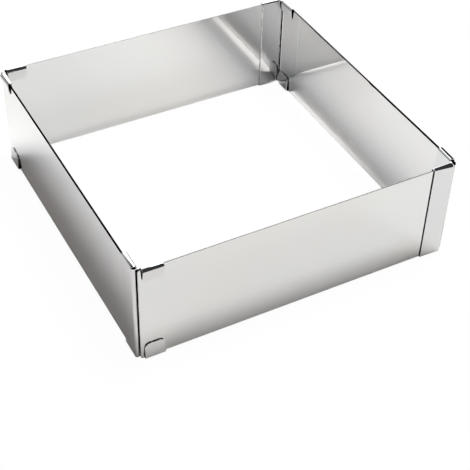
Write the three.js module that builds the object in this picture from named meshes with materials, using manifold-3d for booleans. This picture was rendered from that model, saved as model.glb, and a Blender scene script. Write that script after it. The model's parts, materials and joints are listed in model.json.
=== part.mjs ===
// Adjustable square cake frame.
//
// Four equal flat plates of polished stainless sheet stand on edge in a
// pinwheel, and four equal folded corner clips join them. Every clip has two
// legs at a right angle. Its fixed leg lies on the outside of one plate and is
// hooked over that plate's top and bottom edges, close to the plate's end. Its
// sliding leg lies on the inside of the next plate, hooked over that plate's
// edges from the other side, and that plate is free to slide through it. The
// frame is drawn at its largest size, with every free end at its own corner.
//
// Millimetres, +Z up. The origin is at the middle of the square, at the height
// of the surface that the frame stands on. The front plate faces -Y.

import * as THREE from 'three';
import { mergeVertices } from 'three/addons/utils/BufferGeometryUtils.js';
import Module from 'manifold-3d';

// ---- driving dimensions ----
const SIDE = 255;          // outer face to outer face of two opposite plates
const HEIGHT = 85;         // overall height, over the folded edges of the clips
const SHEET = 0.8;         // plate thickness
const CLIP_SHEET = 0.6;    // clip thickness
const GAP = 0.3;           // running gap of a hook over its plate's edge, and at its tip
const FIX_GAP = 0.5;       // gap between a fixed leg and its plate
const SLIDE_GAP = 1.4;     // gap between a sliding leg and its plate, which hangs loose in the hooks
const FREE_END = 0.9;      // a plate's free end stops this far inside the corner
const LEG = 20;            // each clip leg's free edge, from the outer corner
const BEND_IN = 0.9;       // inside radius of a clip's upright bend
const FIX_HOOK_START = 4.6;   // fixed leg: where its folded hooks begin
const SLIDE_HOOK_START = 4.6; // sliding leg: where its folded hooks begin
const TOP_HOOK = 11;       // how far a top hook reaches down, from the very top
const BOTTOM_HOOK = 14;    // how far a bottom hook reaches up, from the bottom
const TOP_HOOK_CORNER = 2;    // rounded corners of a top hook
const BOTTOM_HOOK_CORNER = 4; // rounded corners of a bottom hook
const ROLL = 2.1;          // outside radius of a hook's soft roll, away from the leg
const TOP_ROLL_AT = 1.6;   // centre of a top hook's roll, from the plate's face on the leg's side
const BOTTOM_ROLL_AT = 0.6;   // the same at the bottom, where the fold is tighter
const PLATE_CORNER = 1;    // rounded corners of a plate
const ARC_STEPS = 6;       // facets in a quarter turn of a fold

// ---- sizes that follow ----
const RISE = GAP + CLIP_SHEET;         // how far a hook stands over a plate's edge
const INNER = SHEET + SLIDE_GAP + CLIP_SHEET; // inner face of a sliding leg
const Z_TOP = HEIGHT - RISE;           // top edge of the plates
const Z_BOTTOM = RISE;                 // bottom edge of the plates
const BEND_OUT = BEND_IN + CLIP_SHEET; // outside radius of the upright bend
const HELD_END = INNER + 2.2;          // where a plate's held end stops

const wasm = await Module();
wasm.setup();

// ---- closed meshes in and out of the boolean library ----
function toSolid(geometry) {
  const bare = geometry.clone();
  bare.deleteAttribute('normal');
  bare.deleteAttribute('uv');
  const merged = mergeVertices(bare, 1e-5);
  return new wasm.Manifold(new wasm.Mesh({
    numProp: 3,
    vertProperties: new Float32Array(merged.attributes.position.array),
    triVerts: new Uint32Array(merged.index.array),
  }));
}

function toGeometry(solid) {
  const mesh = solid.getMesh();
  const count = mesh.vertProperties.length / mesh.numProp;
  const position = new Float32Array(count * 3);
  for (let i = 0; i < count; i += 1) {
    for (let k = 0; k < 3; k += 1) {
      position[i * 3 + k] = mesh.vertProperties[i * mesh.numProp + k];
    }
  }
  const geometry = new THREE.BufferGeometry();
  geometry.setAttribute('position', new THREE.BufferAttribute(position, 3));
  geometry.setIndex(new THREE.BufferAttribute(new Uint32Array(mesh.triVerts), 1));
  geometry.computeVertexNormals();
  return geometry;
}

// Extrudes a flat shape along the third axis of a frame of unit axes.
function slab(points, depth, ax, ay, origin) {
  const shape = new THREE.Shape(points.map(([x, y]) => new THREE.Vector2(x, y)));
  const geometry = new THREE.ExtrudeGeometry(shape, {
    depth, bevelEnabled: false, curveSegments: 1,
  });
  const az = new THREE.Vector3().crossVectors(ax, ay);
  const matrix = new THREE.Matrix4().makeBasis(ax, ay, az);
  matrix.setPosition(origin);
  geometry.applyMatrix4(matrix);
  return geometry;
}

function arc(cx, cy, r, fromDeg, toDeg, steps = ARC_STEPS) {
  const points = [];
  for (let i = 0; i <= steps; i += 1) {
    const a = THREE.MathUtils.degToRad(fromDeg + ((toDeg - fromDeg) * i) / steps);
    points.push([cx + r * Math.cos(a), cy + r * Math.sin(a)]);
  }
  return points;
}

function rect(x0, x1, y0, y1) {
  return [[x0, Math.min(y0, y1)], [x1, Math.min(y0, y1)], [x1, Math.max(y0, y1)], [x0, Math.max(y0, y1)]];
}

const X = new THREE.Vector3(1, 0, 0);
const Y = new THREE.Vector3(0, 1, 0);
const Z = new THREE.Vector3(0, 0, 1);

// ---- one plate: a flat strip with just-rounded corners ----
// The corner that it is drawn from is at the origin: its free end stops just
// inside that corner, and its held end stops inside the clip at the other one.
function plateGeometry() {
  const x0 = FREE_END;
  const x1 = SIDE - HELD_END;
  const r = PLATE_CORNER;
  const outline = [
    ...arc(x0 + r, Z_BOTTOM + r, r, 180, 270),
    ...arc(x1 - r, Z_BOTTOM + r, r, 270, 360),
    ...arc(x1 - r, Z_TOP - r, r, 0, 90),
    ...arc(x0 + r, Z_TOP - r, r, 90, 180),
  ];
  return slab(outline, SHEET, X, Z, new THREE.Vector3(0, SHEET, 0));
}

// ---- the section of a hook, across its plate ----
// n runs across the plate from its face on the leg's side, so the plate lies in
// 0 < n < SHEET. Heights here run up from the plate's edge. The sheet turns
// over the plate's edge, runs flat across it, rolls over softly and comes back
// slantwise, until its tip is a running gap away from the plate.
function hookSection(reach, legGap, rollAt) {
  const tipN = SHEET + GAP;
  const turn = legGap + CLIP_SHEET > 1.5 ? 1.6 : legGap + CLIP_SHEET;
  const turnN = turn - legGap - CLIP_SHEET;
  const turnZ = RISE - turn;
  const centreZ = RISE - ROLL;
  const inside = ROLL - CLIP_SHEET;
  const dn = tipN - rollAt;
  const dz = reach + centreZ;
  const slant = THREE.MathUtils.radToDeg(Math.asin(inside / Math.hypot(dn, dz)) - Math.atan2(dn, dz));
  const a = THREE.MathUtils.degToRad(slant);
  const tip = [tipN, -reach];
  const outTip = [tipN + CLIP_SHEET * Math.cos(a), -reach - CLIP_SHEET * Math.sin(a)];
  return [
    [-legGap - CLIP_SHEET, -2],
    ...arc(turnN, turnZ, turn, 180, 90),
    ...arc(rollAt, centreZ, ROLL, 90, -slant, ARC_STEPS + 1),
    outTip,
    tip,
    ...arc(rollAt, centreZ, inside, -slant, 90, ARC_STEPS + 1),
    ...arc(turnN, turnZ, turn - CLIP_SHEET, 90, 180),
    [-legGap, -2],
  ];
}

// ---- one corner clip ----
// Drawn at the corner at the origin, with the sliding leg along +X, on the
// inside of the plate that lies in 0 < y < SHEET, and the fixed leg along +Y,
// on the outside of the plate that lies in 0 < x < SHEET.
function clipSolid() {
  // the two legs and the upright bend between them, seen from above
  const bx = -FIX_GAP + BEND_IN;
  const by = INNER + BEND_IN;
  const angle = [
    ...arc(bx, by, BEND_OUT, 180, 270),
    [LEG, SHEET + SLIDE_GAP],
    [LEG, INNER],
    ...arc(bx, by, BEND_IN, 270, 180),
    [-FIX_GAP, LEG],
    [-FIX_GAP - CLIP_SHEET, LEG],
  ];
  let solid = toSolid(slab(angle, Z_TOP - Z_BOTTOM, X, Y, new THREE.Vector3(0, 0, Z_BOTTOM)));
  // where the hooks begin, the legs end at the start of the fold
  const shave = (depth, s0, fixed) => {
    for (const z of [Z_TOP - depth, Z_BOTTOM + depth]) {
      const z1 = z > HEIGHT / 2 ? HEIGHT : 0;
      const bar = fixed
        ? slab(rect(s0, LEG + 1, z, z1), 3, Y, Z, new THREE.Vector3(-3, 0, 0))
        : slab(rect(s0, LEG + 1, z, z1), 3, X, Z, new THREE.Vector3(0, INNER + 0.5, 0));
      solid = solid.subtract(toSolid(bar));
    }
  };
  shave(FIX_GAP + CLIP_SHEET - RISE, FIX_HOOK_START, true);
  shave(1.6 - RISE, SLIDE_HOOK_START, false);

  // the outline that trims a hook, seen square to the plate: its free corners
  // are rounded, and it runs past the fold
  const outline = (s0, s1, zTip, zPast, r) => {
    if (zTip < zPast) {
      return [[s0, zPast], ...arc(s0 + r, zTip + r, r, 180, 270), ...arc(s1 - r, zTip + r, r, 270, 360), [s1, zPast]];
    }
    return [[s0, zPast], [s1, zPast], ...arc(s1 - r, zTip - r, r, 0, 90), ...arc(s0 + r, zTip - r, r, 90, 180)];
  };

  for (const [up, edge, hook, corner, rollAt] of [
    [1, Z_TOP, TOP_HOOK, TOP_HOOK_CORNER, TOP_ROLL_AT],
    [-1, Z_BOTTOM, BOTTOM_HOOK, BOTTOM_HOOK_CORNER, BOTTOM_ROLL_AT],
  ]) {
    const reach = hook - RISE;
    const zTip = edge - up * reach;
    const section = (legGap) => hookSection(reach + 0.2, legGap, rollAt).map(([n, h]) => [n, edge + up * h]);
    // sliding leg: folds out over the plate, towards -Y
    const slideBar = toSolid(slab(section(SLIDE_GAP).map(([n, z]) => [SHEET - n, z]), LEG - SLIDE_HOOK_START, Y, Z,
      new THREE.Vector3(SLIDE_HOOK_START, 0, 0)));
    const slideTrim = toSolid(slab(outline(SLIDE_HOOK_START, LEG, zTip, edge + up * 5, corner), 8, X, Z,
      new THREE.Vector3(0, SHEET, 0)));
    const slideRoot = toSolid(slab(rect(SLIDE_HOOK_START, LEG, edge - up * 3, edge + up * 5), 4, X, Z,
      new THREE.Vector3(0, SHEET + 3.5, 0)));
    solid = solid.add(slideBar.intersect(slideTrim.add(slideRoot)));
    // fixed leg: folds in over the plate, towards +X
    const fixBar = toSolid(slab(section(FIX_GAP).map(([n, z]) => [-n, z]), LEG - FIX_HOOK_START, X.clone().negate(), Z,
      new THREE.Vector3(0, FIX_HOOK_START, 0)));
    const fixTrim = toSolid(slab(outline(FIX_HOOK_START, LEG, zTip, edge + up * 5, corner), 8, Y, Z,
      new THREE.Vector3(0, 0, 0)));
    const fixRoot = toSolid(slab(rect(FIX_HOOK_START, LEG, edge - up * 3, edge + up * 5), 4, Y, Z,
      new THREE.Vector3(-3.5, 0, 0)));
    solid = solid.add(fixBar.intersect(fixTrim.add(fixRoot)));
  }
  return solid;
}

// ---- the assembly: one plate and one clip, four times round the square ----
const plate = plateGeometry().translate(-SIDE / 2, -SIDE / 2, 0);
const clip = toGeometry(clipSolid()).translate(-SIDE / 2, -SIDE / 2, 0);

const plateSteel = { color: 0xd9d8d6, roughness: 0.12, metalness: 1.0 };
const clipSteel = { color: 0xdcdcdc, roughness: 0.16, metalness: 1.0 };

const group = new THREE.Group();
const corners = [
  ['plate_front', 'clip_front_left'],
  ['plate_right', 'clip_front_right'],
  ['plate_back', 'clip_back_right'],
  ['plate_left', 'clip_back_left'],
];
corners.forEach(([plateName, clipName], quarter) => {
  const turned = new THREE.Group();
  turned.rotation.z = (quarter * Math.PI) / 2;
  const plateMesh = new THREE.Mesh(plate.clone(), new THREE.MeshStandardMaterial(plateSteel));
  plateMesh.name = plateName;
  const clipMesh = new THREE.Mesh(clip.clone(), new THREE.MeshStandardMaterial(clipSteel));
  clipMesh.name = clipName;
  turned.add(plateMesh, clipMesh);
  group.add(turned);
});

export default group;
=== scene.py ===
import json
import math

import bpy
import numpy as np
from mathutils import Matrix, Vector, noise


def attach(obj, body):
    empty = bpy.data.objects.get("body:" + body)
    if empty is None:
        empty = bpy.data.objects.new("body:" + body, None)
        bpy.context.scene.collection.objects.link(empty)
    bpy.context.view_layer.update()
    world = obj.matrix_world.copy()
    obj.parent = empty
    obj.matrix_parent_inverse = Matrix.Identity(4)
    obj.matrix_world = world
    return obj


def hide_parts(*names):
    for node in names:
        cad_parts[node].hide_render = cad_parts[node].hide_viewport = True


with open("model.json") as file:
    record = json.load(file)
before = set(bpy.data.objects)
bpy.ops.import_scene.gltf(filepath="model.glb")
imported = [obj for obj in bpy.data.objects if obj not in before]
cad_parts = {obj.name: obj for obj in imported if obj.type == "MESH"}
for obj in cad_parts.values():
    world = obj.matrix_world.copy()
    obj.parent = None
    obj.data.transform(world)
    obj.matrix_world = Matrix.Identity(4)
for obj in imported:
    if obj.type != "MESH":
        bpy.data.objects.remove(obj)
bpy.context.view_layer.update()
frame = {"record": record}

# ---------------------------------------------------------------------------
# Sizes in millimetres, in the frame's own axes. One plate and one clip are
# drawn for the front-left corner and turned by quarter turns to the others.
# ---------------------------------------------------------------------------
SIDE = 255.0
SHEET = 0.8
CLIP_SHEET = 0.6
HALF = CLIP_SHEET / 2
GAP = 0.3
Z_TOP = 84.1
Z_BOTTOM = 0.9
PLATE_U0 = 0.9
PLATE_U1 = 250.0
LEG = 20.0
RISE = GAP + CLIP_SHEET               # a hook's top over its plate's edge
BEND = 1.2                            # mid radius of the upright bend
HOOK_START = 4.6
HOOKS = {"top": (11.0, 2.0), "bottom": (14.0, 4.0)}   # reach from the very edge, corner radius
ROLL = 2.1                            # outside radius of the soft roll
MM = 0.001

# How each clip sits on its two plates: pairs are at the corner and at the
# leg's free edge. gap is from the leg to its plate, turn the outside radius of
# the fold on the leg's side, roll the centre of the soft roll over the plate.
SEATS = (
    {"fixed": {"gap": (0.50, 0.34), "turn": (1.15, 0.90), "top": (1.5, 1.6), "bottom": (0.6, 0.6)},
     "sliding": {"gap": (1.40, 1.25), "turn": (1.6, 1.5), "top": (1.25, 1.40), "bottom": (0.6, 0.6)}},
    {"fixed": {"gap": (1.25, 0.32), "turn": (2.2, 0.85), "top": (1.7, 1.4), "bottom": (0.8, 0.6)},
     "sliding": {"gap": (1.90, 1.15), "turn": (1.7, 1.5), "top": (0.5, 0.9), "bottom": (0.5, 0.7)}},
    {"fixed": {"gap": (0.50, 0.36), "turn": (1.1, 0.95), "top": (1.4, 0.8), "bottom": (0.6, 0.7)},
     "sliding": {"gap": (1.40, 0.30), "turn": (1.6, 0.95), "top": (1.4, 1.2), "bottom": (0.6, 0.6)}},
    {"fixed": {"gap": (0.50, 0.40), "turn": (1.1, 1.0), "top": (1.4, 1.9), "bottom": (0.6, 0.6)},
     "sliding": {"gap": (1.40, 1.25), "turn": (1.6, 1.5), "top": (1.35, 0.6), "bottom": (0.7, 0.6)}},
)


# ---------------------------------------------------------------------------
# Camera
# ---------------------------------------------------------------------------
def make_camera():
    data = bpy.data.cameras.new("camera")
    data.sensor_width = 36.0
    data.lens = 88.63
    data.clip_start = 0.01
    data.clip_end = 60.0
    cam = bpy.data.objects.new("camera", data)
    right = Vector((0.88264907, -0.46940737, 0.02423487))
    down = Vector((-0.29828565, -0.59923706, -0.74292706))
    ahead = Vector((0.36325788, 0.64851497, -0.66893352))
    place = Vector((-0.3337722, -0.6260137, 0.6016467))
    m = Matrix.Identity(4)
    for i in range(3):
        m[i][0], m[i][1], m[i][2], m[i][3] = right[i], -down[i], -ahead[i], place[i]
    cam.matrix_world = m
    bpy.context.scene.collection.objects.link(cam)
    bpy.context.scene.camera = cam
    return cam


camera = make_camera()


# ---------------------------------------------------------------------------
# Node helpers
# ---------------------------------------------------------------------------
class Tree:
    def __init__(self, name):
        self.mat = bpy.data.materials.new(name)
        self.mat.use_nodes = True
        self.t = self.mat.node_tree
        self.t.nodes.clear()
        self.x = 0

    def node(self, kind, **props):
        n = self.t.nodes.new(kind)
        self.x += 180
        n.location = (self.x, 0)
        for k, v in props.items():
            setattr(n, k, v)
        return n

    def link(self, a, b):
        self.t.links.new(a, b)

    def mapped(self, coords, scale, offset=(0, 0, 0), turn=0.0):
        m = self.node("ShaderNodeMapping")
        m.inputs["Scale"].default_value = scale
        m.inputs["Location"].default_value = offset
        m.inputs["Rotation"].default_value = (0, 0, turn)
        self.link(coords, m.inputs["Vector"])
        return m.outputs["Vector"]

    def noise(self, vector, detail=3.0, rough=0.5, distortion=0.0):
        n = self.node("ShaderNodeTexNoise")
        n.inputs["Scale"].default_value = 1.0
        n.inputs["Detail"].default_value = detail
        n.inputs["Roughness"].default_value = rough
        n.inputs["Distortion"].default_value = distortion
        self.link(vector, n.inputs["Vector"])
        return n.outputs["Fac"]

    def span(self, value, lo, hi, to_lo=0.0, to_hi=1.0):
        m = self.node("ShaderNodeMapRange")
        m.interpolation_type = "SMOOTHSTEP"
        m.inputs["From Min"].default_value = lo
        m.inputs["From Max"].default_value = hi
        m.inputs["To Min"].default_value = to_lo
        m.inputs["To Max"].default_value = to_hi
        self.link(value, m.inputs["Value"])
        return m.outputs["Result"]

    def math(self, op, a, b):
        m = self.node("ShaderNodeMath", operation=op)
        for i, v in enumerate((a, b)):
            if isinstance(v, (int, float)):
                m.inputs[i].default_value = v
            else:
                self.link(v, m.inputs[i])
        return m.outputs[0]

    def mix(self, fac, a, b):
        m = self.node("ShaderNodeMix", data_type="RGBA")
        self.link(fac, m.inputs["Factor"])
        m.inputs["A"].default_value = (*a, 1)
        m.inputs["B"].default_value = (*b, 1)
        return m.outputs["Result"]

    def bump(self, height, strength, distance, normal=None):
        b = self.node("ShaderNodeBump")
        b.inputs["Strength"].default_value = strength
        b.inputs["Distance"].default_value = distance
        self.link(height, b.inputs["Height"])
        if normal is not None:
            self.link(normal, b.inputs["Normal"])
        return b.outputs["Normal"]


def steel(name, cool, warm, rough_lo, rough_hi, grain, smear):
    """Bright rolled stainless: faint grain along the sheet, wiped smears, a few
    hairline scratches, and a slow drift between a cool and a warm grey."""
    t = Tree(name)
    uv = t.node("ShaderNodeUVMap", uv_map="sheet").outputs["UV"]
    # rolling grain: long, fine lines along the sheet
    fine = t.noise(t.mapped(uv, (14, 5200, 1)), 2.0, 0.6)
    broad = t.noise(t.mapped(uv, (5, 620, 1), (3.1, 7.7, 0)), 3.0, 0.55)
    # smears left by wiping, and slow unevenness of the sheet
    cloud = t.noise(t.mapped(uv, (22, 34, 1), (11.3, 2.9, 0), 0.3), 5.0, 0.6, 0.6)
    slow = t.noise(t.mapped(uv, (7, 9, 1), (1.7, 13.1, 0)), 2.0, 0.5)
    # hairline scratches at two slants
    marks = []
    for turn, seed in ((0.5, 4.0), (-0.9, 9.0), (1.35, 21.0)):
        v = t.noise(t.mapped(uv, (60, 9000, 1), (seed, seed * 1.7, 0), turn), 1.0, 0.4)
        marks.append(t.span(v, 0.735, 0.80))
    scratch = t.math("MAXIMUM", t.math("MAXIMUM", marks[0], marks[1]), marks[2])
    tone = t.span(slow, 0.3, 0.7)
    colour = t.mix(tone, cool, warm)
    r = t.span(cloud, 0.25, 0.8, rough_lo, rough_hi)
    r = t.math("ADD", r, t.math("MULTIPLY", scratch, 0.10))
    r = t.math("ADD", r, t.math("MULTIPLY", t.span(broad, 0.3, 0.75), smear))
    n = t.bump(fine, 1.0, grain)
    n = t.bump(broad, 1.0, grain * 2.2, n)
    p = t.node("ShaderNodeBsdfPrincipled")
    p.inputs["Metallic"].default_value = 1.0
    p.inputs["Anisotropic"].default_value = 0.25
    t.link(colour, p.inputs["Base Color"])
    t.link(r, p.inputs["Roughness"])
    t.link(n, p.inputs["Normal"])
    out = t.node("ShaderNodeOutputMaterial")
    t.link(p.outputs["BSDF"], out.inputs["Surface"])
    return t.mat


def cut_steel(name, dark, light, rough_lo, rough_hi, ridges=0.00005, grazing=1.0):
    """A cut edge: duller, with fine ridges across the sheet. Its base colour and grazing tint paint light on the edge:
    lighter than the face as a painted highlight, darker as painted shade.
    """
    t = Tree(name)
    uv = t.node("ShaderNodeUVMap", uv_map="sheet").outputs["UV"]
    ridge = t.noise(t.mapped(uv, (5200, 5200, 1)), 2.0, 0.6)
    patch = t.noise(t.mapped(uv, (160, 160, 1), (5.0, 1.0, 0)), 3.0, 0.6)
    colour = t.mix(t.span(patch, 0.3, 0.7), dark, light)
    r = t.span(patch, 0.2, 0.8, rough_lo, rough_hi)
    n = t.bump(ridge, 1.0, ridges)
    p = t.node("ShaderNodeBsdfPrincipled")
    p.inputs["Metallic"].default_value = 1.0
    p.inputs["Specular Tint"].default_value = (grazing, grazing, grazing, 1)
    t.link(colour, p.inputs["Base Color"])
    t.link(r, p.inputs["Roughness"])
    t.link(n, p.inputs["Normal"])
    out = t.node("ShaderNodeOutputMaterial")
    t.link(p.outputs["BSDF"], out.inputs["Surface"])
    return t.mat


plate_face = steel("plate_face", (0.640, 0.642, 0.645), (0.650, 0.642, 0.634), 0.018, 0.040, 0.0000008, 0.015)
clip_face = steel("clip_face", (0.592, 0.590, 0.600), (0.604, 0.598, 0.600), 0.03, 0.06, 0.0000010, 0.02)
# clip cut edges: duller and rougher, with a base colour lighter than the clip's face, a painted highlight along the
# edges
clip_edge_painted_highlight = cut_steel("clip_edge_painted_highlight", (0.66, 0.658, 0.655), (0.78, 0.778, 0.775), 0.18, 0.34)
# near-black rim with a dark grazing tint: painted shadow of the gap beside a clip leg's free edge
clip_edge_painted_shadow = cut_steel("clip_edge_painted_shadow", (0.035, 0.036, 0.037), (0.075, 0.075, 0.077), 0.24, 0.40, 0.00002, 0.2)
# plate cut edges: duller, rougher sheared steel, and darker than the face as painted shade for the gap and contact
# shadow at the edges; the front plate's is a warm brown painted shade
plate_edge_dull_and_shaded = cut_steel("plate_edge_dull_and_shaded", (0.26, 0.256, 0.252), (0.40, 0.394, 0.388), 0.24, 0.42)
plate_edge_warm_dull_and_shaded = cut_steel("plate_edge_warm_dull_and_shaded", (0.13, 0.108, 0.102), (0.22, 0.192, 0.184), 0.26, 0.42)
# near black with no grazing tint: painted shade for the dark line along the side plates' long edges
plate_edge_painted_black = cut_steel("plate_edge_painted_black", (0.0016, 0.0016, 0.0016), (0.0042, 0.0040, 0.0038), 0.30, 0.46, 0.000012, 0.0)


# ---------------------------------------------------------------------------
# Mesh helpers. A sheet is laid out flat as a grid in (s, q), its corners are
# rounded there, and it is then bent into place. Thickness and the small
# rounding of its cut edges come after.
# ---------------------------------------------------------------------------
def spread(lo, hi, step, fine_lo=(), fine_hi=()):
    """Grid lines from lo to hi, close together near the ends and even between."""
    a = [lo + d for d in fine_lo]
    b = [hi - d for d in reversed(fine_hi)]
    x0 = a[-1] if a else lo
    x1 = b[0] if b else hi
    n = max(1, int(round((x1 - x0) / step)))
    middle = [x0 + (x1 - x0) * i / n for i in range(1, n)]
    line = [lo] + [v for v in a if v > lo + 1e-9] + middle + [v for v in b if v < hi - 1e-9] + [hi]
    return sorted(set(round(v, 6) for v in line))


def rounded(s, q, s_edge, q_edge, s_in, q_in, r):
    """Pulls a point of the square corner block (r by r) onto a round corner."""
    cs = s_edge + s_in * r
    cq = q_edge + q_in * r
    ds, dq = s - cs, q - cq
    if ds * s_in > 1e-9 or dq * q_in > 1e-9:
        return s, q
    big = max(abs(ds), abs(dq))
    length = math.hypot(ds, dq)
    if length < 1e-9:
        return s, q
    k = big / length
    return cs + ds * k, cq + dq * k


def sheet_object(name, verts, faces, flat, thickness, bevel, mats, turn, slots=None):
    """verts in mm in the corner's own axes, flat the (s, q) of each in mm."""
    rot = Matrix.Rotation(turn * math.pi / 2, 3, "Z")
    placed = [rot @ Vector((u - SIDE / 2, v - SIDE / 2, z)) * MM for u, v, z in verts]
    me = bpy.data.meshes.new(name)
    me.from_pydata([tuple(p) for p in placed], [], faces)
    layer = me.uv_layers.new(name="sheet")
    shift = 0.37 * turn + (0.11 if name.startswith("clip") else 0.0)
    for loop in me.loops:
        s, q = flat[loop.vertex_index]
        layer.data[loop.index].uv = (s * MM + shift, q * MM + 0.61 * shift)
    for m in mats:
        me.materials.append(m)
    if slots:
        me.polygons.foreach_set("material_index", slots)
    ob = bpy.data.objects.new(name, me)
    bpy.context.scene.collection.objects.link(ob)
    solid = ob.modifiers.new("thickness", "SOLIDIFY")
    solid.thickness = thickness * MM
    solid.offset = 0.0
    solid.use_even_offset = True
    solid.use_quality_normals = True
    solid.material_offset_rim = 1
    round_ = ob.modifiers.new("edges", "BEVEL")
    round_.width = bevel * MM
    round_.segments = 3
    round_.limit_method = "ANGLE"
    round_.angle_limit = math.radians(50)
    round_.use_clamp_overlap = True
    round_.harden_normals = False
    round_.material = -1
    weigh = ob.modifiers.new("normals", "WEIGHTED_NORMAL")
    weigh.mode = "FACE_AREA"
    weigh.weight = 60
    for p in me.polygons:
        p.use_smooth = True
    bpy.context.view_layer.update()
    dg = bpy.context.evaluated_depsgraph_get()
    made = bpy.data.meshes.new_from_object(ob.evaluated_get(dg), preserve_all_data_layers=True, depsgraph=dg)
    made.name = name
    ob.modifiers.clear()
    ob.data = made
    bpy.data.meshes.remove(me)
    return ob


def wave(s, q, seed, size, height):
    """Slow unevenness of a rolled sheet, in mm."""
    a = noise.noise(Vector((s / size, q / size, seed * 7.31)))
    b = noise.noise(Vector((s / size * 2.3 + 9.0, q / size * 2.3, seed * 3.17)))
    return height * (a + 0.4 * b)


def make_plate(name, turn):
    fine = (0.25, 0.5, 0.75, 1.0, 1.4, 1.9, 2.6)
    start = PLATE_U0 + (0.9 if turn == 0 else 0.0)      # the front plate's end stands a little further off its bend
    ss = spread(start, PLATE_U1, 2.5, fine, fine)
    qs = spread(Z_BOTTOM, Z_TOP, 2.5, fine, fine)
    verts, flat, faces = [], [], []
    for s in ss:
        for q in qs:
            a, b = s, q
            for es, ins in ((start, 1), (PLATE_U1, -1)):
                for eq, inq in ((Z_BOTTOM, 1), (Z_TOP, -1)):
                    a, b = rounded(a, b, es, eq, ins, inq, 1.0)
            w = wave(s, q, turn + 1.0, 48.0, 0.075)
            verts.append((a, SHEET / 2 + w, b))
            flat.append((a, b))
    nq = len(qs)
    slots = []
    for i in range(len(ss) - 1):
        for j in range(nq - 1):
            k = i * nq + j
            faces.append((k, k + nq, k + nq + 1, k + 1))
            # the side plates get a painted near-black band along their long edges: painted shade for the dark line at
            # their top and bottom edges, on the rim and the face rows next to it
            deep = 1.95 if turn == 3 else 1.95 - 1.2 * ss[i] / PLATE_U1
            painted_black_row = qs[j + 1] <= Z_BOTTOM + 0.3 or qs[j] >= Z_TOP - deep
            slots.append(2 if turn % 2 and painted_black_row else 0)
    # rims: the front plate's a warm brown painted shade, the right plate's the painted-highlight clip edge, the others
    # a darker grey painted shade; all also duller cut steel
    edge = {0: plate_edge_warm_dull_and_shaded, 1: clip_edge_painted_highlight}.get(turn, plate_edge_dull_and_shaded)
    mats = (plate_face, edge, plate_edge_painted_black, plate_edge_painted_black)
    return sheet_object(name, verts, faces, flat, SHEET, 0.13, mats, turn, slots)


def hook_path(reach, gap, turn, roll_at):
    """The mid line of a hook's section: (n, h, length so far), from the start of
    the fold. n runs across the plate from its face on the leg's side and h up
    from its edge. The point count doesn't depend on the sizes."""
    tip_n = SHEET + GAP
    inside, mid = ROLL - CLIP_SHEET, ROLL - HALF
    cz = RISE - ROLL
    dn, dz = tip_n - roll_at, reach + cz
    slant = math.asin(inside / math.hypot(dn, dz)) - math.atan2(dn, dz)
    tn, tz = turn - gap - CLIP_SHEET, RISE - turn
    pts = []
    for i in range(9):
        a = math.radians(180 - 90 * i / 8)
        pts.append((tn + (turn - HALF) * math.cos(a), tz + (turn - HALF) * math.sin(a)))
    steps = 16
    top = math.radians(90)
    for i in range(steps + 1):
        a = top + (-slant - top) * i / steps
        pts.append((roll_at + mid * math.cos(a), cz + mid * math.sin(a)))
    end = (tip_n + HALF * math.cos(slant), -reach - HALF * math.sin(slant))
    out = [(pts[0][0], pts[0][1], 0.0)]
    for p in pts[1:] + [end]:
        l = out[-1][2] + math.hypot(p[0] - out[-1][0], p[1] - out[-1][1])
        out.append((p[0], p[1], l))
    return out


def on_path(path, q):
    q = min(max(q, 0.0), path[-1][2])
    for a, b in zip(path, path[1:]):
        if q <= b[2] + 1e-9:
            t = 0.0 if b[2] == a[2] else (q - a[2]) / (b[2] - a[2])
            return a[0] + (b[0] - a[0]) * t, a[1] + (b[1] - a[1]) * t
    return path[-1][:2]


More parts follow.
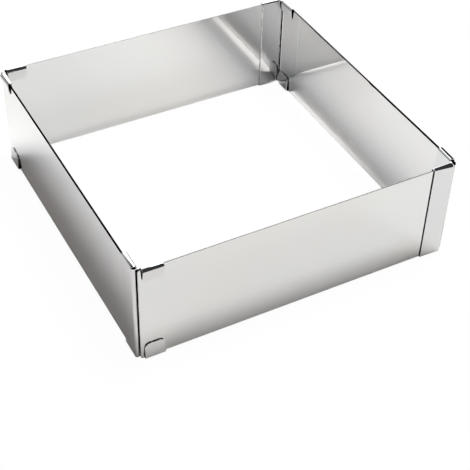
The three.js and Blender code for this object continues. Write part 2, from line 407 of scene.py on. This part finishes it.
def make_clip(name, turn):
    seat = SEATS[turn]
    fixed_u = -(seat["fixed"]["gap"][0] + HALF)
    sliding_v = SHEET + seat["sliding"]["gap"][0] + HALF
    bend_u, bend_v = fixed_u + BEND, sliding_v + BEND
    bend_end = {"fixed": bend_v, "sliding": bend_u}
    arc_len = BEND * math.pi / 2
    bend_n = 10
    fine = (0.3, 0.6, 0.95, 1.3, 1.65, 2.0, 2.7, 3.4, 4.0)

    def lerp(leg, what, d):
        a, b = seat[leg][what]
        t = (d - bend_end[leg]) / (LEG - bend_end[leg])
        return a + (b - a) * min(max(t, 0.0), 1.0)

    def run(leg, d):
        """Length along the developed sheet; 0 is the middle of the bend."""
        l = arc_len / 2 + (d - bend_end[leg])
        return -l if leg == "fixed" else l

    def path(leg, end, d):
        return hook_path(HOOKS[end][0] - RISE, lerp(leg, "gap", d), lerp(leg, "turn", d), lerp(leg, end, d))

    def place(leg, d, n, z):
        """n is measured from the plate's face on the leg's side, into the plate."""
        return (n, d, z) if leg == "fixed" else (d, SHEET - n, z)

    line = spread(HOOK_START, LEG, 1.3, fine, fine)
    cols = [("fixed", d) for d in reversed(line)]
    cols.append(("fixed", HOOK_START - 0.35))
    cols += [("bend", i / bend_n) for i in range(bend_n + 1)]
    between = HOOK_START - bend_u
    cols += [("sliding", bend_u + between * f) for f in (0.15, 0.4, 0.65, 0.88)]
    cols += [("sliding", d) for d in line]

    zs = spread(Z_BOTTOM, Z_TOP, 3.2, (0.35, 0.8, 1.6, 2.8), (0.35, 0.8, 1.6, 2.8))
    middle = (Z_BOTTOM + Z_TOP) / 2
    verts, flat, faces = [], [], []
    index = {}

    def add(key, p, st):
        if key not in index:
            index[key] = len(verts)
            verts.append(p)
            flat.append(st)
        return index[key]

    for i, (leg, d) in enumerate(cols):
        hooked = leg != "bend" and d >= HOOK_START - 1e-6
        for j, z in enumerate(zs):
            if leg == "bend":
                a = math.pi + math.pi / 2 * d
                s = -arc_len / 2 + arc_len * d
                add((i, j), (bend_u + BEND * math.cos(a), bend_v + BEND * math.sin(a), z), (s, z))
                continue
            if hooked:
                drop = max(0.0, lerp(leg, "turn", d) - RISE)
                k = (middle - Z_BOTTOM - drop) / (middle - Z_BOTTOM)
                z = middle + (z - middle) * k
            s = run(leg, d)
            w = wave(s, z, turn + 11.0, 24.0, 0.05) * min(1.0, abs(d - bend_end[leg]) / 6.0)
            w *= min(1.0, (z - Z_BOTTOM) / 6.0, (Z_TOP - z) / 6.0) if hooked else 1.0
            add((i, j), place(leg, d, -(lerp(leg, "gap", d) + HALF) + w, z), (s, z))
    slots = []
    for i in range(len(cols) - 1):
        # painted light on two legs' free edges: a painted gap shadow on the rim of one, a painted highlight on the
        # face strip of the other
        painted_edge_slot = 2 if turn == 1 and i < 1 else 1 if turn == 2 and i >= len(cols) - 3 else 0
        for j in range(len(zs) - 1):
            faces.append((index[i, j], index[i + 1, j], index[i + 1, j + 1], index[i, j + 1]))
            slots.append(painted_edge_slot)

    for leg in ("fixed", "sliding"):
        members = [i for i, c in enumerate(cols) if c[0] == leg and c[1] >= HOOK_START - 1e-6]
        for end, (whole, corner) in HOOKS.items():
            sign = 1 if end == "top" else -1
            z_edge = Z_TOP if end == "top" else Z_BOTTOM
            j_edge = len(zs) - 1 if end == "top" else 0
            rows = 0
            for i in members:
                d = cols[i][1]
                p = path(leg, end, d)
                total = p[-1][2]
                bends = [x[2] for x in p[1:-1]]
                straight = total - bends[-1]
                near = [c for c in fine if c <= corner + 1e-6]
                tail = [total - c for c in reversed(near)]
                lead = tail[0] - bends[-1]
                qs = [0.0] + bends + [bends[-1] + lead * f for f in (0.15, 0.38, 0.66)] + tail + [total]
                rows = len(qs)
                for k, q in enumerate(qs):
                    if k == 0:
                        index[leg, end, i, 0] = index[i, j_edge]
                        continue
                    back = total - q
                    d2, e2 = rounded(d, back, HOOK_START, 0.0, 1, 1, corner)
                    d2, e2 = rounded(d2, e2, LEG, 0.0, -1, 1, corner)
                    p2 = path(leg, end, d2)
                    n, h = on_path(p2, p2[-1][2] - e2)
                    s2 = run(leg, d2)
                    lift = min(1.0, q / total) * 0.05 * noise.noise(Vector((s2 / 9.0, turn * 5.1, sign * 3.3)))
                    add((leg, end, i, k), place(leg, d2, n + max(lift, -0.03), z_edge + sign * h),
                        (s2, z_edge + sign * (p2[-1][2] - e2)))
            for a, b in zip(members, members[1:]):
                for k in range(rows - 1):
                    f = (index[leg, end, a, k], index[leg, end, b, k],
                         index[leg, end, b, k + 1], index[leg, end, a, k + 1])
                    faces.append(f if sign > 0 else tuple(reversed(f)))
    slots += [0] * (len(faces) - len(slots))
    # slot 1 puts the painted-highlight edge colour on face strips; slot 2 keeps the face, and its rim (slot 3) takes
    # the painted shadow
    mats = (clip_face, clip_edge_painted_highlight, clip_face, clip_edge_painted_shadow)
    return sheet_object(name, verts, faces, flat, CLIP_SHEET, 0.11, mats, turn, slots)


CORNERS = (
    ("plate_front", "clip_front_left"),
    ("plate_right", "clip_front_right"),
    ("plate_back", "clip_back_right"),
    ("plate_left", "clip_back_left"),
)
body_of = {n: b for b, ns in frame["record"]["behaviour"]["bodies"].items() for n in ns}
for turn, (plate, clip) in enumerate(CORNERS):
    for node, make, slot in ((plate, make_plate, "plate_steel"), (clip, make_clip, "clip_steel")):
        piece = make(node + "_sheet", turn)
        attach(piece, body_of[node])
        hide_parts(node)


# ---------------------------------------------------------------------------
# Floor, world and lights
# ---------------------------------------------------------------------------
def make_floor():
    """One plain floor in three parts: inside the frame, past its left side, the rest."""
    t = Tree("floor")
    geo = t.node("ShaderNodeTexCoord").outputs["Object"]
    v = t.noise(t.mapped(geo, (3, 3, 3)), 3.0)
    colour = t.mix(v, (0.84, 0.838, 0.835), (0.86, 0.86, 0.86))
    d = t.node("ShaderNodeBsdfDiffuse")
    t.link(colour, d.inputs["Color"])
    e = t.node("ShaderNodeEmission")
    e.inputs["Color"].default_value = (1, 1, 1, 1)
    e.inputs["Strength"].default_value = 1.0
    path = t.node("ShaderNodeLightPath")
    f = t.math("MULTIPLY", path.outputs["Is Camera Ray"], 0.97)
    m = t.node("ShaderNodeMixShader")
    t.link(f, m.inputs[0])
    t.link(d.outputs[0], m.inputs[1])
    t.link(e.outputs[0], m.inputs[2])
    out = t.node("ShaderNodeOutputMaterial")
    t.link(m.outputs[0], out.inputs["Surface"])
    r, a, z = 7.0, 0.1275, -0.00002
    parts = {
        "floor_inside": [(-a, -a, a, a)],
        "floor_left": [(-r, -r, -a, r)],
        "floor_rest": [(a, -r, r, r), (-a, -r, a, -a), (-a, a, a, r)],
    }
    made = {}
    for name, boxes in parts.items():
        pts, faces = [], []
        for x0, y0, x1, y1 in boxes:
            k = len(pts)
            pts += [(x0, y0, z), (x1, y0, z), (x1, y1, z), (x0, y1, z)]
            faces.append((k, k + 1, k + 2, k + 3))
        me = bpy.data.meshes.new(name)
        me.from_pydata(pts, [], faces)
        me.materials.append(t.mat)
        ob = bpy.data.objects.new(name, me)
        bpy.context.scene.collection.objects.link(ob)
        made[name] = ob
    return made


floor = make_floor()


def make_world():
    world = bpy.data.worlds.new("world")
    bpy.context.scene.world = world
    world.use_nodes = True
    nt = world.node_tree
    nt.nodes.clear()
    path = nt.nodes.new("ShaderNodeLightPath")
    seen = nt.nodes.new("ShaderNodeBackground")
    seen.inputs[0].default_value = (1, 1, 1, 1)
    seen.inputs[1].default_value = 1.0
    dim = nt.nodes.new("ShaderNodeBackground")
    dim.inputs[0].default_value = (0.9, 0.92, 1.0, 1)
    dim.inputs[1].default_value = 0.06
    mix = nt.nodes.new("ShaderNodeMixShader")
    out = nt.nodes.new("ShaderNodeOutputWorld")
    nt.links.new(path.outputs["Is Camera Ray"], mix.inputs[0])
    nt.links.new(dim.outputs[0], mix.inputs[1])
    nt.links.new(seen.outputs[0], mix.inputs[2])
    nt.links.new(mix.outputs[0], out.inputs["Surface"])


make_world()


def soft_light(name, elevation, azimuth, distance, spread_deg, power, colour=(1, 1, 1)):
    """A round softbox aimed at the frame. Azimuth is from +X towards +Y, and
    spread_deg is half the angle that the light covers as seen from the frame."""
    e, a = math.radians(elevation), math.radians(azimuth)
    d = Vector((math.cos(a) * math.cos(e), math.sin(a) * math.cos(e), math.sin(e)))
    data = bpy.data.lights.new(name, "AREA")
    data.shape = "DISK"
    data.size = 2 * distance * math.tan(math.radians(spread_deg))
    data.energy = power
    data.color = colour
    ob = bpy.data.objects.new(name, data)
    ob.location = d * distance
    ob.rotation_mode = "QUATERNION"
    ob.rotation_quaternion = (-d).to_track_quat("-Z", "Y")
    bpy.context.scene.collection.objects.link(ob)
    return ob


# Overhead lights for the floor, whose light the sheets mirror. They are left out
# of the mirror images themselves, so that the rolled hems stay dark on top.
over = soft_light("overhead_softbox", 76, 0, 3.0, 12.5, 62.0, (1.0, 0.955, 0.93))
over_small = soft_light("overhead_small_softbox", 80, 20, 2.0, 9.5, 12.5, (0.86, 0.95, 1.0))
side = soft_light("side_softbox", 54, 0, 1.5, 12.5, 6.9, (1.0, 0.99, 0.88))
for ob in (over, over_small, side):
    ob.visible_glossy = False
soft_light("left_softbox", 32, 164, 1.8, 12.5, 6.3, (1.0, 0.93, 0.88))
soft_light("left_back_softbox", 32, 131, 3.0, 12.5, 5.0)
soft_light("back_high_softbox", 48, 56, 1.5, 9.0, 3.6, (0.84, 0.95, 1.0))
soft_light("back_low_softbox", 7, 80, 3.0, 8.0, 12.0, (0.72, 0.82, 1.0))
# A broad panel behind the frame, only for the bright tops of the hems.
panel = soft_light("back_panel", 26, 66, 2.0, 22.0, 15.0)
panel.visible_diffuse = False
low_panel = soft_light("left_low_panel", 12, 112, 2.0, 14.0, 1.2)
low_panel.visible_diffuse = False


def low_spot(name, az_deg, el_deg, aim, distance, cone_deg, power, radius, colour, lit):
    """A low, narrow light from behind on the right, aimed at a spot on the floor."""
    aim = Vector(aim)
    e, a = math.radians(el_deg), math.radians(az_deg)
    d = Vector((math.cos(a) * math.cos(e), math.sin(a) * math.cos(e), math.sin(e)))
    data = bpy.data.lights.new(name, "SPOT")
    data.energy = power
    data.color = colour
    data.spot_size = math.radians(cone_deg)
    data.spot_blend = 0.8
    data.shadow_soft_size = radius
    ob = bpy.data.objects.new(name, data)
    ob.location = aim + d * distance
    ob.rotation_mode = "QUATERNION"
    ob.rotation_quaternion = (-d).to_track_quat("-Z", "Y")
    bpy.context.scene.collection.objects.link(ob)
    ob.visible_glossy = False
    only = bpy.data.collections.new(name + "_floor")
    only.objects.link(lit)
    ob.light_linking.receiver_collection = only


# The first reaches under the two plates at the back-right corner and draws the
# bright line along their feet that they mirror, the second lights the floor past the
# back-left corner. Both leave out the floor behind the frame, or the backs would
# mirror plain white.
low_spot("corner_spot", 20.0, 6.6, (0.118, 0.075, 0.0), 0.9, 18.0, 325.0, 0.075, (1.0, 0.985, 0.965), floor["floor_inside"])
low_spot("left_spot", 28.0, 9.0, (0.118, 0.083, 0.0), 0.9, 18.6, 222.0, 0.085, (0.965, 0.97, 1.0), floor["floor_left"])

scene = bpy.context.scene
scene.view_settings.view_transform = "Standard"
scene.view_settings.look = "None"
